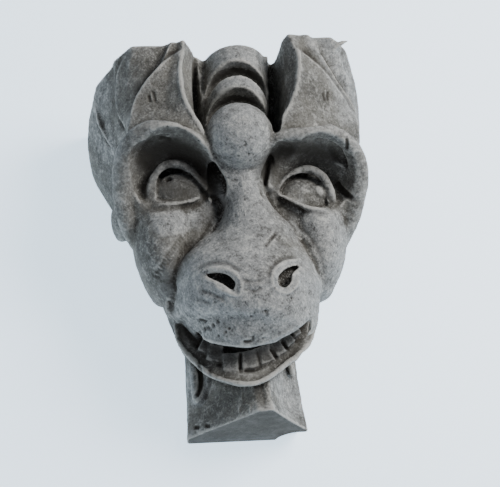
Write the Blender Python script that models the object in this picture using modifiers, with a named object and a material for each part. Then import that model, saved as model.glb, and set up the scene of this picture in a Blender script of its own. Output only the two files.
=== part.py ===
"""A cast-stone corbel carved as a horned beast's face, to be fixed to a wall by its flat back.

Metres, +Z up. The back lies in the plane y = 0 and the face looks along -Y. The origin is the
middle of the back. The carving is laid out on a grid of its own, GRID units high: x across, out
from the wall and z up from the underside of the foot.
"""

import math

import bmesh
import bpy
from mathutils import Euler, Matrix, Vector

# The whole piece
HEIGHT = 0.183
GRID = 183.0
UNIT = HEIGHT / GRID
ORIGIN_HEIGHT = HEIGHT / 2

FOOT_LEVEL = 2.5

# Details with a size of their own
BALL_RADIUS = 0.0165
EYE_RADIUS = 0.0107
LID_RADIUS = 0.0019
BROW_RADIUS = 0.0052
RIM_RADIUS = 0.0014
MOUTH_HEIGHT = 0.021
MOUTH_DEPTH = 0.023
GUM_HEIGHT = 0.018
GUM_DEPTH = 0.023
TOOTH_WIDTH = 0.0056
TOOTH_HEIGHT = 0.0105
TOOTH_DEPTH = 0.008
NOSTRIL_DEPTH = 0.009
RECESS_HEIGHT = 0.0075
RECESS_DEPTH = 0.024
SLOT_WIDTH = 0.0075
BEAD_RADIUS = 0.0014

# How finely the stone is worked
CLAY_CELL = 0.0013
SMOOTH_ROUNDS = 2
FACETS = 9400
WELD = 0.00002

STONE_COLOUR = (0.27, 0.265, 0.26, 1.0)
STONE_ROUGHNESS = 0.82


def clear_scene():
    for old in list(bpy.data.objects):
        bpy.data.objects.remove(old)


def new_collection(name):
    group = bpy.data.collections.new(name)
    bpy.context.scene.collection.children.link(group)
    return group


def at(x, out, z):
    """A point of the carver's grid as a point in space."""
    return Vector((x * UNIT, -out * UNIT, (z - FOOT_LEVEL) * UNIT - ORIGIN_HEIGHT))


def flow(points, count):
    """Evenly spread rows on a smooth curve through the given rows of numbers."""
    before = [2 * a - b for a, b in zip(points[0], points[1])]
    after = [2 * a - b for a, b in zip(points[-1], points[-2])]
    rows = [before, *points, after]
    spans = len(points) - 1
    smooth = []
    for step in range(count):
        t = spans * step / (count - 1)
        i = min(int(t), spans - 1)
        u = t - i
        weights = (-u + 2 * u**2 - u**3, 2 - 5 * u**2 + 3 * u**3, u + 4 * u**2 - 3 * u**3, u**3 - u**2)
        columns = zip(*rows[i : i + 4])
        smooth.append([sum(w * value for w, value in zip(weights, column)) / 2 for column in columns])
    return smooth


def finish_mesh(name, bm):
    bmesh.ops.recalc_face_normals(bm, faces=bm.faces)
    mesh = bpy.data.meshes.new(name)
    bm.to_mesh(mesh)
    bm.free()
    made = bpy.data.objects.new(name, mesh)
    clay.objects.link(made)
    return made


def lump(centre, radii, turn=(0, 0, 0), segments=32):
    """An egg of stone, its radii in grid units, turned by degrees about X, Y and Z."""
    bm = bmesh.new()
    bmesh.ops.create_uvsphere(bm, u_segments=segments, v_segments=segments // 2, radius=UNIT)
    spin = Euler([math.radians(angle) for angle in turn]).to_matrix().to_4x4()
    place = Matrix.Translation(at(*centre)) @ spin @ Matrix.Diagonal((*radii, 1))
    bmesh.ops.transform(bm, matrix=place, verts=bm.verts)
    return finish_mesh("lump", bm)


def stem(stations, width_axis=(1, 0, 0), closing=0.12, segments=36, rings=44):
    """A ball drawn out along a spine; a station is x, out, z, half width and half thickness."""
    bm = bmesh.new()
    bmesh.ops.create_uvsphere(bm, u_segments=segments, v_segments=rings, radius=1)
    rows = flow(stations, 160)
    spine = [at(*row[:3]) for row in rows]
    width_axis = Vector(width_axis)
    last = len(rows) - 1
    for vert in bm.verts:
        share = math.acos(max(-1, min(1, vert.co.z))) / math.pi
        i = round(share * last)
        along = (spine[min(i + 1, last)] - spine[max(i - 1, 0)]).normalized()
        across = (width_axis - along * along.dot(width_axis)).normalized()
        shut = 1 - min(min(share, 1 - share) / closing, 1)
        swell = math.sqrt(max(0, 1 - shut**2)) * UNIT
        turn = math.atan2(vert.co.y, vert.co.x)
        sideways = across * (rows[i][3] * swell * math.cos(turn))
        vert.co = spine[i] + sideways + along.cross(across) * (rows[i][4] * swell * math.sin(turn))
    return finish_mesh("stem", bm)


def arch(centre, reach, rise, lean, half_depth, half_height):
    """A bar bent over an arch, thin at its ends, with its right end lower by twice the lean."""
    stations = []
    for step in range(13):
        turn = math.pi * step / 12
        x = centre[0] + reach * math.cos(turn)
        z = centre[2] + rise * math.sin(turn) - lean * math.cos(turn)
        stations.append((x, centre[1], z, half_depth, half_height * (0.2 + 0.8 * math.sin(turn))))
    return stem(stations, width_axis=(0, -1, 0))


def bar(path, radius):
    """A round bar along a path; a station is x, out, z and a share of the radius."""
    curve = bpy.data.curves.new("bar", "CURVE")
    curve.dimensions = "3D"
    curve.bevel_depth = radius
    curve.bevel_resolution = 4
    curve.use_fill_caps = True
    spline = curve.splines.new("POLY")
    rows = flow(path, 8 * len(path))
    spline.points.add(len(rows) - 1)
    for point, row in zip(spline.points, rows):
        point.co = (*at(*row[:3]), 1)
        point.radius = row[3]
    guide = bpy.data.objects.new("bar", curve)
    clay.objects.link(guide)
    bpy.context.view_layer.update()
    mesh = bpy.data.meshes.new_from_object(guide.evaluated_get(bpy.context.evaluated_depsgraph_get()))
    bpy.data.objects.remove(guide)
    bm = bmesh.new()
    bm.from_mesh(mesh)
    bmesh.ops.remove_doubles(bm, verts=bm.verts, dist=WELD)
    return finish_mesh("bar", bm)


def loft(rails, levels=36):
    """A closed body between rails that run from top to bottom and follow each other round it."""
    bm = bmesh.new()
    columns = [flow(rail, levels) for rail in rails]
    columns.append(columns[0])
    bmesh.ops.create_grid(bm, x_segments=len(rails), y_segments=levels - 1, size=1)
    bm.verts.ensure_lookup_table()
    for index, vert in enumerate(bm.verts):
        level, rail = divmod(index, len(columns))
        vert.co = at(*columns[rail][level])
    bmesh.ops.remove_doubles(bm, verts=bm.verts, dist=WELD)
    bmesh.ops.holes_fill(bm, edges=bm.edges)
    bmesh.ops.triangulate(bm, faces=bm.faces)
    return finish_mesh("loft", bm)


def block(centre, size, turn=0.0):
    """A square block of a size in metres, turned about the axis out of the wall by degrees."""
    bm = bmesh.new()
    bmesh.ops.create_cube(bm, size=1)
    lean = Matrix.Rotation(math.radians(turn), 4, "Y")
    place = Matrix.Translation(at(*centre)) @ lean @ Matrix.Diagonal((*size, 1))
    bmesh.ops.transform(bm, matrix=place, verts=bm.verts)
    return finish_mesh("block", bm)


def mirrored(rows, side):
    return [(side * row[0], *row[1:]) for row in rows]


def gather(name, pieces, group):
    """Several closed forms as one mesh, for the clay to swallow."""
    bm = bmesh.new()
    for piece in pieces:
        bm.from_mesh(piece.data)
        bpy.data.objects.remove(piece)
    mesh = bpy.data.meshes.new(name)
    bm.to_mesh(mesh)
    bm.free()
    made = bpy.data.objects.new(name, mesh)
    group.objects.link(made)
    return made


def settle(piece):
    """Turns the modifiers into the mesh itself."""
    bpy.context.view_layer.update()
    solid = piece.evaluated_get(bpy.context.evaluated_depsgraph_get())
    mesh = bpy.data.meshes.new_from_object(solid)
    piece.modifiers.clear()
    piece.data = mesh


def fuse(piece, rounds=0):
    """Runs touching forms into one skin and rubs its joints down."""
    melt = piece.modifiers.new("Melt", "REMESH")
    melt.mode = "VOXEL"
    melt.voxel_size = CLAY_CELL
    if rounds:
        rub = piece.modifiers.new("Rub", "SMOOTH")
        rub.iterations = rounds
        rub.factor = 0.5
    settle(piece)


def fused(name, pieces):
    """Overlapping cutters as one closed tool."""
    tool = gather(name, pieces, clay)
    fuse(tool)
    return tool


def boolean(piece, tool, operation):
    cut = piece.modifiers.new(operation.title(), "BOOLEAN")
    cut.operation = operation
    cut.object = tool
    cut.solver = "EXACT"
    settle(piece)
    bpy.data.objects.remove(tool)


def head_core():
    """The mass of the head behind the face, broad at the top and drawn in to the neck."""
    return stem(
        [
            (0, 10, 34, 25, 24),
            (0, 16, 58, 34, 32),
            (0, 18, 84, 42, 40),
            (0, 18, 112, 54, 48),
            (0, 12, 146, 62, 56),
            (0, 10, 206, 62, 56),
        ]
    )


def neck():
    """The stem of the corbel: a ridge in front between two hollowed sides, flared at the foot."""
    back_left = [(-28, -8, 62), (-28, -8, 30), (-28, -8, -12)]
    front_left = [(-28, 18, 62), (-28, 13, 30), (-29.5, 8, 4), (-30, 8, -12)]
    hollow_left = [(-12, 33, 62), (-11, 29, 30), (-13, 23, 4), (-13, 23, -12)]
    ridge = [(8, 43, 62), (9, 43, 30), (5, 40, 4), (4, 40, -12)]
    hollow_right = [(19, 33, 62), (19, 30, 30), (19, 25, 4), (19, 25, -12)]
    front_right = [(27, 22, 62), (28, 17, 30), (32, 10, 4), (33, 10, -12)]
    back_right = [(27, -8, 62), (27, -8, 30), (28, -8, -12)]
    return loft([back_left, front_left, hollow_left, ridge, hollow_right, front_right, back_right])


def left_ear():
    """Folded leaves of the left ear, each stepped back behind the one in front."""
    root = [(-17, 52, 196), (-17, 52, 160), (-15, 62, 132), (-12, 66, 108)]
    ridge = [(-26, 89, 192), (-28.5, 96, 166), (-27, 98, 146), (-20, 95, 131), (-13, 80, 110)]
    dish = [(-28, 89, 192), (-34, 92, 168), (-37, 91, 148), (-36, 94, 131), (-32, 84, 112)]
    fold_1 = [(-29, 90, 192), (-40, 93, 170), (-53, 86, 152), (-55.5, 82, 134), (-52, 66, 112)]
    step_1 = [(-30, 86, 192), (-42, 88, 170), (-54.5, 80, 152), (-56, 73, 134), (-52, 62, 112)]
    leaf_2 = [(-51, 92, 196), (-54, 81, 172), (-58.5, 70, 152), (-57, 64, 134), (-52, 57, 112)]
    fold_2 = [(-60, 78, 196), (-62, 70, 172), (-60.5, 64, 152), (-57, 62, 134), (-52, 54, 112)]
    step_2 = [(-61, 73, 196), (-62.5, 64, 172), (-61, 58, 152), (-57, 57, 134), (-53, 50, 112)]
    fold_3 = [(-68, 60, 196), (-70.5, 47, 178), (-66, 46, 156), (-60, 48, 138), (-54, 42, 112)]
    step_3 = [(-69, 54, 196), (-71, 41, 178), (-67, 39, 156), (-61, 41, 138), (-55, 34, 112)]
    flank = [(-73, 20, 196), (-75, 16, 176), (-74, 14, 160), (-66.5, 14, 143), (-46, 17, 104)]
    heel = [(-72, -8, 196), (-74, -8, 176), (-72, -8, 158), (-64, -8, 140), (-42, -8, 100)]
    middle = [(6, -8, 196), (6, -8, 150), (6, -8, 104)]
    inside = [(6, 50, 196), (6, 50, 150), (6, 50, 104)]
    front = [inside, root, ridge, dish, fold_1, step_1, leaf_2, fold_2, step_2]
    return loft([*front, fold_3, step_3, flank, heel, middle])


def right_ear():
    """The right ear stands a little further forward at its top, over a deeper slot."""
    root = [(20, 46, 196), (18, 48, 160), (15, 62, 132), (12, 66, 108)]
    ridge = [(24.5, 96, 192), (31, 98, 169), (27, 98, 149), (17, 94, 131), (12, 80, 108)]
    dish = [(30, 97, 192), (38, 94, 168), (38, 92, 148), (35, 93, 127), (32, 84, 110)]
    fold_1 = [(33, 100, 192), (48, 89, 170), (61, 76, 155), (62, 73, 136), (55, 60, 108)]
    step_1 = [(35, 97, 192), (49, 85, 170), (62, 71, 155), (64, 64, 138), (56, 57, 108)]
    leaf_2 = [(45, 102, 192), (58, 80, 172), (66, 62, 155), (65, 57, 138), (56, 53, 108)]
    fold_2 = [(55, 93, 192), (66, 66, 174), (68, 55, 158), (65, 51, 138), (56, 48, 108)]
    step_2 = [(56, 88, 192), (67, 60, 174), (69, 50, 158), (65, 47, 138), (56, 44, 108)]
    fold_3 = [(67, 60, 192), (71, 46, 176), (70, 41, 156), (64, 39, 136), (55, 36, 108)]
    step_3 = [(68, 54, 192), (72, 40, 176), (70, 35, 156), (65, 33, 136), (56, 30, 108)]
    flank = [(71, 20, 196), (73, 20, 174), (72, 18, 152), (64, 18, 134), (46, 17, 104)]
    heel = [(70, -8, 196), (72, -8, 174), (71, -8, 152), (62, -8, 132), (42, -8, 100)]
    middle = [(-6, -8, 196), (-6, -8, 150), (-6, -8, 104)]
    inside = [(-6, 50, 196), (-6, 50, 150), (-6, 50, 104)]
    front = [inside, root, ridge, dish, fold_1, step_1, leaf_2, fold_2, step_2]
    return loft([*front, fold_3, step_3, flank, heel, middle])


def crest():
    """The column between the ears, its front bulging over the forehead."""
    return stem(
        [
            (-1, 62, 112, 11, 16),
            (-0.5, 66, 132, 15.5, 20),
            (1, 68, 160, 16.5, 23),
            (3, 62, 206, 18, 22),
        ]
    )


def crest_recesses():
    """The column's two lunes, cut deep under plates like a shell's, and the slots beside it."""
    depth = RECESS_DEPTH / UNIT
    height = RECESS_HEIGHT / UNIT / 2
    lower = arch((0.5, 94, 140.5), 17, 12.5, 2, depth, height)
    upper = arch((2, 94, 162), 17, 8, 2.5, depth, height)
    slot = SLOT_WIDTH / UNIT / 2
    left = stem([(-21, 84, 200, slot * 0.8, 28), (-20, 84, 160, slot * 0.8, 26), (-17, 88, 128, 1, 14)])
    right = stem([(22.5, 84, 200, slot * 1.1, 34), (22, 84, 160, slot * 1.1, 30), (16.5, 88, 126, 1, 14)])
    return [lower, upper, left, right]


def ball():
    return lump((-1.2, 87.5, 132), [BALL_RADIUS / UNIT] * 3, segments=40)


def snout():
    """From the narrow bridge under the ball down to the broad muzzle and the lip."""
    return stem(
        [
            (-0.5, 68, 134, 17, 16),
            (-0.5, 68, 119, 15, 16),
            (0, 70, 107, 8, 12),
            (0, 68, 97, 9.5, 17),
            (0, 64, 86, 15.5, 26),
            (0.5, 60, 77, 23.5, 33),
            (2, 56, 68, 33, 38),
            (2, 54, 58, 36.5, 38),
            (1.5, 53, 48, 34.5, 34),
            (0, 52, 38, 28, 29),
            (-2, 52, 29, 17, 21),
            (-2.5, 52, 22, 8, 12),
        ],
        closing=0.06,
    )


LEFT_BROW = [
    (11, 80, 114, 0.6),
    (20, 91, 121.5, 0.75),
    (29, 96.5, 128, 0.95),
    (38, 97.5, 131.5, 1),
    (48, 93, 131, 1.1),
    (55, 84, 127, 1.2),
    (58.5, 73, 118, 1.2),
    (57.5, 63, 107, 1.2),
    (54, 54, 96, 1),
    (49, 48, 88, 0.7),
]
RIGHT_BROW = [
    (11, 81, 114, 0.6),
    (20, 92, 120.5, 0.75),
    (29, 96.5, 124.5, 0.95),
    (38, 97.5, 127, 1),
    (47, 94, 126.5, 1.1),
    (53.5, 85, 122, 1.2),
    (57, 75, 114, 1.2),
    (56.5, 66, 104, 1.2),
    (54, 56, 95, 1),
    (50, 48, 87, 0.7),
]


def cheek(side):
    """A round cheek below the eye, running down beside the muzzle to the corner of the mouth."""
    pad = [(38, 50, 108, 13, 19), (38, 49, 96, 16.5, 26), (37, 43, 80, 14.5, 28), (33, 37, 62, 9, 18)]
    return stem(mirrored(pad, side))


def jaw():
    """The lower jaw: a scoop under the muzzle, with its rim standing clear of the neck."""
    return stem(
        [
            (1.5, 24, 66, 36, 14),
            (1, 28, 50, 37, 17),
            (0, 30, 36, 33.5, 21),
            (-1.5, 33, 24, 25, 21),
            (-2.5, 36, 15, 14, 17),
        ],
        closing=0.06,
    )


RIM_PATH = [
    (-34.5, 36, 54, 0.8),
    (-32.5, 41, 40, 1),
    (-22, 48, 23.6, 1),
    (-12, 51, 17, 1),
    (-2.4, 52, 14.7, 1),
    (6, 51, 17, 1),
    (18, 48, 26, 1),
    (30.5, 42, 38, 1),
    (37, 36, 52, 0.8),
]
MOUTH_PATH = [
    (-37, 44, 53, 0.3),
    (-32, 50, 40, 0.66),
    (-24, 57, 28, 0.85),
    (-12, 62, 21, 1),
    (-1, 63, 19.5, 1),
    (8, 61, 22.5, 1),
    (21, 56, 31, 0.85),
    (32, 49, 43, 0.62),
    (39, 41, 55, 0.3),
]
GUM_PATH = [
    (-26, 50, 40),
    (-17, 52, 33),
    (-8, 53, 29),
    (0, 53, 28),
    (8, 53, 30),
    (17, 51, 36.5),
    (26, 48, 46),
]
TEETH = [
    (-23, 43.5, 40, 40),
    (-17, 45, 34, 30),
    (-9, 46, 29.8, 10),
    (-1.2, 46, 28.8, -2),
    (6.6, 46, 30, -14),
    (13.2, 45.5, 34, -32),
    (19, 44, 39.5, -42),
    (24.6, 42, 46, -46),
]


def clay_body():
    """Every mass that stands proud, run together."""
    masses = [head_core(), neck(), left_ear(), right_ear(), crest()]
    masses.extend([snout(), jaw(), cheek(-1), cheek(1)])
    masses.append(bar(mirrored(LEFT_BROW, -1), BROW_RADIUS))
    masses.append(bar(RIGHT_BROW, BROW_RADIUS))
    masses.append(bar([(38, 88, 131, 1), (47, 85, 132, 1.1), (55, 75, 125, 1)], BROW_RADIUS))
    masses.append(lump((-36.5, 45, 60), (4, 6, 7)))
    masses.append(lump((-58, 14, 124), (6, 14, 11)))
    return masses


def socket(side, lift):
    """The hollow under a brow, its roof nearly level and its floor running out on the cheek."""
    stations = [(33, 69, 111, 18, 12), (35, 80, 112, 20.5, 15), (36, 92, 112, 21.5, 16.5), (37, 116, 108, 25, 22)]
    raised = [(x, out, z + lift, wide, high) for x, out, z, wide, high in mirrored(stations, side)]
    return stem(raised, closing=0.08)


def mouth():
    """The gap between the lips, and the shadow behind the row of teeth."""
    height = MOUTH_HEIGHT / UNIT / 2
    depth = MOUTH_DEPTH / UNIT / 2
    lips = [(x, out, z, depth * share, height * share) for x, out, z, share in MOUTH_PATH]
    gums = [(x, out, z, GUM_DEPTH / UNIT / 2, GUM_HEIGHT / UNIT / 2) for x, out, z in GUM_PATH]
    gap = stem(lips, (0, -1, 0), 0.04)
    gum = stem(gums, (0, -1, 0), 0.08)
    return [gap, gum]


def hollows():
    """What is cut back from the masses."""
    return [socket(-1, 3), socket(1, -2), *mouth(), *crest_recesses()]


def eye_mounds():
    return [lump((-33, 58, 111), (19, 17, 17)), lump((33, 58, 107.5), (19, 17, 17))]


def eye_openings():
    radii = (14.5, 14, 10.5)
    return [lump((-32, 84, 113.5), radii, turn=(0, 12, 0)), lump((31, 84, 110), radii, turn=(0, -10, 0))]


def eyeballs():
    radii = [EYE_RADIUS / UNIT] * 3
    boss = lump((38, 68.5, 110), (4, 4, 4))
    return [lump((-32, 65.5, 111), radii), lump((32, 65.5, 108.5), radii), boss]


def lids():
    left = [
        (-50, 62, 99, 0.8),
        (-45.5, 70, 111, 1),
        (-42, 74, 118.5, 1),
        (-34, 77, 124.5, 1),
        (-26, 77, 121.5, 1),
        (-20, 75, 114, 1),
        (-16, 71, 104, 0.8),
    ]
    right = [
        (50, 62, 97, 0.8),
        (45.5, 71, 106, 1),
        (41, 75.5, 116, 1),
        (33, 77, 121, 1),
        (24, 76, 117.5, 1),
        (17, 74, 111, 1),
        (13.5, 71, 105, 0.8),
    ]
    lower_left = [(-47, 69, 104, 1), (-32, 75, 103, 1.1), (-17.5, 72, 108, 0.8)]
    lower_right = [(45, 69, 99.5, 1), (31, 75, 99, 1.1), (17, 72, 108, 0.8)]
    return [bar(path, LID_RADIUS) for path in (left, right, lower_left, lower_right)]


def nostrils():
    depth = NOSTRIL_DEPTH / UNIT
    return [
        lump((-16, 90, 53.5), (7, depth, 2.6), turn=(0, 24, 0)),
        lump((17, 90, 55), (7, depth, 3.2), turn=(0, -48, 0)),
    ]


def nostril_rims():
    left = [
        (-23, 82, 59, 0.7),
        (-16, 88, 57.5, 1),
        (-9, 90, 51.5, 1),
        (-10, 88, 47.5, 1),
        (-17, 85.5, 50, 0.8),
    ]
    right = [
        (24, 82, 63, 0.7),
        (16, 88.5, 60, 1),
        (10.5, 90, 52, 1),
        (14, 87.5, 47, 1),
        (20, 85.5, 53, 0.8),
    ]
    return [bar(path, BEAD_RADIUS) for path in (left, right)]


def neck_carving():
    """A drop-shaped loop on the left of the neck and a folded corner on its right."""
    loop = [
        (-25, 18, 42, 0.8),
        (-27, 15, 30, 1),
        (-27, 14, 20, 1),
        (-24, 17, 15, 1),
        (-20, 20, 19, 1),
        (-18.5, 23, 30, 1),
        (-19, 25, 42, 0.8),
    ]
    fold = [(20, 33, 42, 1), (24, 25, 29, 0.8), (24, 25, 40, 0.8)]
    return [bar(loop, BEAD_RADIUS * 1.3), bar(fold, BEAD_RADIUS)]


def ear_bead():
    """A raised rim along the outermost fold of the left ear."""
    rim = [(-70, 46, 180, 0.8), (-69.5, 46, 170, 1), (-65.5, 47, 156, 1.2), (-60, 49, 143, 1)]
    return bar(rim, BEAD_RADIUS)


def teeth():
    size = (TOOTH_WIDTH, TOOTH_DEPTH, TOOTH_HEIGHT)
    return [block((x, out, z), size, turn) for x, out, z, turn in TEETH]


def flash_spur():
    """The thorn left by the mould at the right ear's upper edge."""
    return bar([(49, 88, 180, 1.2), (54, 91, 183, 0.9), (59, 92, 184.6, 0.3)], BEAD_RADIUS)


def chips():
    """What is drilled or broken away last: the left pupil and the foot's back corner."""
    pupil = lump((-37.5, 76, 117), (2.4, 5, 2.2))
    corner = lump((29, -3, FOOT_LEVEL - 1), (9, 6, 5), turn=(0, 0, 20))
    return [pupil, corner]


def trim_block():
    """Everything outside the flat back, the flat top and the underside is taken off."""
    return block((0, GRID / 2, FOOT_LEVEL + GRID / 2), (2 * HEIGHT, HEIGHT, HEIGHT))


def stone_material():
    material = bpy.data.materials.new("cast_stone")
    material.use_nodes = True
    shader = material.node_tree.nodes["Principled BSDF"]
    shader.inputs["Base Color"].default_value = STONE_COLOUR
    shader.inputs["Roughness"].default_value = STONE_ROUGHNESS
    shader.inputs["Metallic"].default_value = 0.0
    return material


def corbel():
    body = gather("corbel", clay_body(), stone)
    fuse(body)
    boolean(body, fused("hollows", hollows()), "DIFFERENCE")
    body = gather("corbel", [body, ball(), *eye_mounds()], stone)
    fuse(body)
    boolean(body, fused("openings", [*eye_openings(), *nostrils()]), "DIFFERENCE")
    details = [*eyeballs(), *lids(), *nostril_rims(), *neck_carving(), ear_bead(), flash_spur(), *teeth()]
    details.append(bar(RIM_PATH, RIM_RADIUS))
    body = gather("corbel", [body, *details], stone)
    fuse(body, SMOOTH_ROUNDS)
    boolean(body, fused("chips", chips()), "DIFFERENCE")
    thin = body.modifiers.new("Facets", "DECIMATE")
    thin.ratio = FACETS / sum(len(face.vertices) - 2 for face in body.data.polygons)
    settle(body)
    boolean(body, trim_block(), "INTERSECT")
    bm = bmesh.new()
    bm.from_mesh(body.data)
    bmesh.ops.remove_doubles(bm, verts=bm.verts, dist=WELD)
    bmesh.ops.triangulate(bm, faces=bm.faces)
    bm.to_mesh(body.data)
    bm.free()
    body.name = "corbel"
    body.data.materials.clear()
    body.data.materials.append(stone_material())
    body.data.shade_smooth()
    return body


clear_scene()
stone = new_collection("stone_corbel")
clay = new_collection("cutters")
corbel()
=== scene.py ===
import math

import bmesh
import bpy
import numpy as np
from mathutils import Euler, Matrix, Vector, kdtree, noise
from mathutils.bvhtree import BVHTree


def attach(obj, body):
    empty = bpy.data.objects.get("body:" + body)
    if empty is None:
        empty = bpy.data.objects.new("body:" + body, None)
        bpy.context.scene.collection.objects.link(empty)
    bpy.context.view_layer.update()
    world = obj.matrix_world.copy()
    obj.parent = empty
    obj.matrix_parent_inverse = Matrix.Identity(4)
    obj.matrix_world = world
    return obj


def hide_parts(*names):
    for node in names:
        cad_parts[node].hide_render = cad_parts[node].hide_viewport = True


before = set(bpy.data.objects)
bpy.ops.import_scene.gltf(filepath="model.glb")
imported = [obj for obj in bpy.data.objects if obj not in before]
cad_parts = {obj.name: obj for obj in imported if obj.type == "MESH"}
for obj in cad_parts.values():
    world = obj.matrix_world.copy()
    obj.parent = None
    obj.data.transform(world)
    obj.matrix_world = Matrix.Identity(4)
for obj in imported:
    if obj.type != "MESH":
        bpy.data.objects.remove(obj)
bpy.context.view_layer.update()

# The camera stands below the face and a little to its left, with the corbel lying on its back, as
# in the photograph. It comes first because the fine carving is set out as it is seen from here.
PHOTO_SIZE = 500, 487
FOCAL_PIXELS = 1290.0
AIM = Vector((0.0045, -0.052, -0.0045))
CAMERA_DISTANCE = 0.65
CAMERA_AZIMUTH, CAMERA_ELEVATION, CAMERA_ROLL = (math.radians(angle) for angle in (-8, -26, 5))

toward_camera = Vector((
    math.sin(CAMERA_AZIMUTH) * math.cos(CAMERA_ELEVATION),
    -math.cos(CAMERA_AZIMUTH) * math.cos(CAMERA_ELEVATION),
    math.sin(CAMERA_ELEVATION),
))
level_right = Vector((math.cos(CAMERA_AZIMUTH), math.sin(CAMERA_AZIMUTH), 0))
level_up = toward_camera.cross(level_right)
picture_right = math.cos(CAMERA_ROLL) * level_right - math.sin(CAMERA_ROLL) * level_up
picture_up = math.sin(CAMERA_ROLL) * level_right + math.cos(CAMERA_ROLL) * level_up

camera = bpy.data.objects.new("camera", bpy.data.cameras.new("camera"))
camera.matrix_world = Matrix.Translation(AIM + toward_camera * CAMERA_DISTANCE) @ Matrix(
    (picture_right, picture_up, toward_camera)
).transposed().to_4x4()
camera.data.sensor_width = 36
camera.data.lens = 36 * FOCAL_PIXELS / PHOTO_SIZE[0]
camera.data.clip_start = 0.01
bpy.context.scene.collection.objects.link(camera)
bpy.context.scene.camera = camera

# The mass of the head and the neck under it, the first clay that the model was built up from. The
# neck is a ridge between two hollowed sides. The grid is the carver's own, 183 units high.
HEIGHT = 0.183
UNIT = HEIGHT / 183
FOOT_LEVEL = 2.5

workshop = bpy.data.collections.new("workshop")
bpy.context.scene.collection.children.link(workshop)


def at(x, out, z):
    """A point of the carver's grid: across, out from the wall and up from below the foot."""
    return Vector((x * UNIT, -out * UNIT, (z - FOOT_LEVEL) * UNIT - HEIGHT / 2))


def flow(points, count):
    """Evenly spread rows on a smooth curve through the given rows of numbers."""
    before = [2 * a - b for a, b in zip(points[0], points[1])]
    after = [2 * a - b for a, b in zip(points[-1], points[-2])]
    rows = [before, *points, after]
    spans = len(points) - 1
    smooth = []
    for step in range(count):
        t = spans * step / (count - 1)
        i = min(int(t), spans - 1)
        u = t - i
        weights = (-u + 2 * u**2 - u**3, 2 - 5 * u**2 + 3 * u**3, u + 4 * u**2 - 3 * u**3, u**3 - u**2)
        columns = zip(*rows[i : i + 4])
        smooth.append([sum(w * value for w, value in zip(weights, column)) / 2 for column in columns])
    return smooth


def clay(name, bm):
    """A closed form, put with the others in the workshop."""
    bmesh.ops.recalc_face_normals(bm, faces=bm.faces)
    mesh = bpy.data.meshes.new(name)
    bm.to_mesh(mesh)
    bm.free()
    made = bpy.data.objects.new(name, mesh)
    workshop.objects.link(made)
    return made


def stem(stations, width_axis=(1, 0, 0), closing=0.12):
    """A ball drawn out along a spine; a station is x, out, z, half width and half thickness."""
    bm = bmesh.new()
    bmesh.ops.create_uvsphere(bm, u_segments=72, v_segments=120, radius=1)
    rows = flow(stations, 400)
    spine = [at(*row[:3]) for row in rows]
    width_axis = Vector(width_axis)
    last = len(rows) - 1
    for vert in bm.verts:
        share = math.acos(max(-1, min(1, vert.co.z))) / math.pi
        i = round(share * last)
        along = (spine[min(i + 2, last)] - spine[max(i - 2, 0)]).normalized()
        across = (width_axis - along * along.dot(width_axis)).normalized()
        shut = 1 - min(min(share, 1 - share) / closing, 1)
        swell = math.sqrt(max(0, 1 - shut**2)) * UNIT
        turn = math.atan2(vert.co.y, vert.co.x)
        sideways = across * (rows[i][3] * swell * math.cos(turn))
        vert.co = spine[i] + sideways + along.cross(across) * (rows[i][4] * swell * math.sin(turn))
    return clay("stem", bm)


def loft(rails, levels=120):
    """A closed body between rails that run from top to bottom and follow each other round it."""
    bm = bmesh.new()
    columns = [flow(rail, levels) for rail in rails]
    columns.append(columns[0])
    bmesh.ops.create_grid(bm, x_segments=len(rails), y_segments=levels - 1, size=1)
    bm.verts.ensure_lookup_table()
    for index, vert in enumerate(bm.verts):
        level, rail = divmod(index, len(columns))
        vert.co = at(*columns[rail][level])
    bmesh.ops.remove_doubles(bm, verts=bm.verts, dist=UNIT / 50)
    bmesh.ops.holes_fill(bm, edges=bm.edges)
    bmesh.ops.triangulate(bm, faces=bm.faces)
    return clay("loft", bm)


head_core = stem([
    (0, 10, 34, 25, 24),
    (0, 16, 58, 34, 32),
    (0, 18, 84, 42, 40),
    (0, 18, 112, 54, 48),
    (0, 12, 146, 62, 56),
    (0, 10, 206, 62, 56),
])
neck = loft([
    [(-28, -8, 62), (-28, -8, 30), (-28, -8, -12)],
    [(-28, 18, 62), (-28, 13, 30), (-29.5, 8, 4), (-30, 8, -12)],
    [(-17, 30, 62), (-17, 24, 30), (-18, 21, 12), (-18.5, 22, 3), (-19, 22, -12)],
    [(0, 40, 62), (1, 38, 30), (2, 41, 12), (2.5, 47, 3), (2.5, 47, -12)],
    [(8, 43, 62), (9, 43, 30), (9, 44, 12), (9.5, 48, 3), (9.5, 48, -12)],
    [(19, 31, 62), (19, 27, 30), (19, 26, 12), (19.5, 31, 3), (19.5, 32, -12)],
    [(27, 22, 62), (28, 17, 30), (31, 14, 4), (32, 14, -12)],
    [(27, -8, 62), (27, -8, 30), (28, -8, -12)],
])
masses = [head_core, neck]

# The ears are leaves folded one behind another, laid against the sides of the head. The edge of
# each leaf is a step, and the outermost leaf of the left ear has a raised rim.


def lump(centre, radii, turn=(0, 0, 0)):
    """An egg of clay, its radii in grid units, turned by degrees about X, Y and Z."""
    bm = bmesh.new()
    bmesh.ops.create_uvsphere(bm, u_segments=64, v_segments=32, radius=UNIT)
    spin = Euler([math.radians(angle) for angle in turn]).to_matrix().to_4x4()
    place = Matrix.Translation(at(*centre)) @ spin @ Matrix.Diagonal((*radii, 1))
    bmesh.ops.transform(bm, matrix=place, verts=bm.verts)
    return clay("lump", bm)


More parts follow.
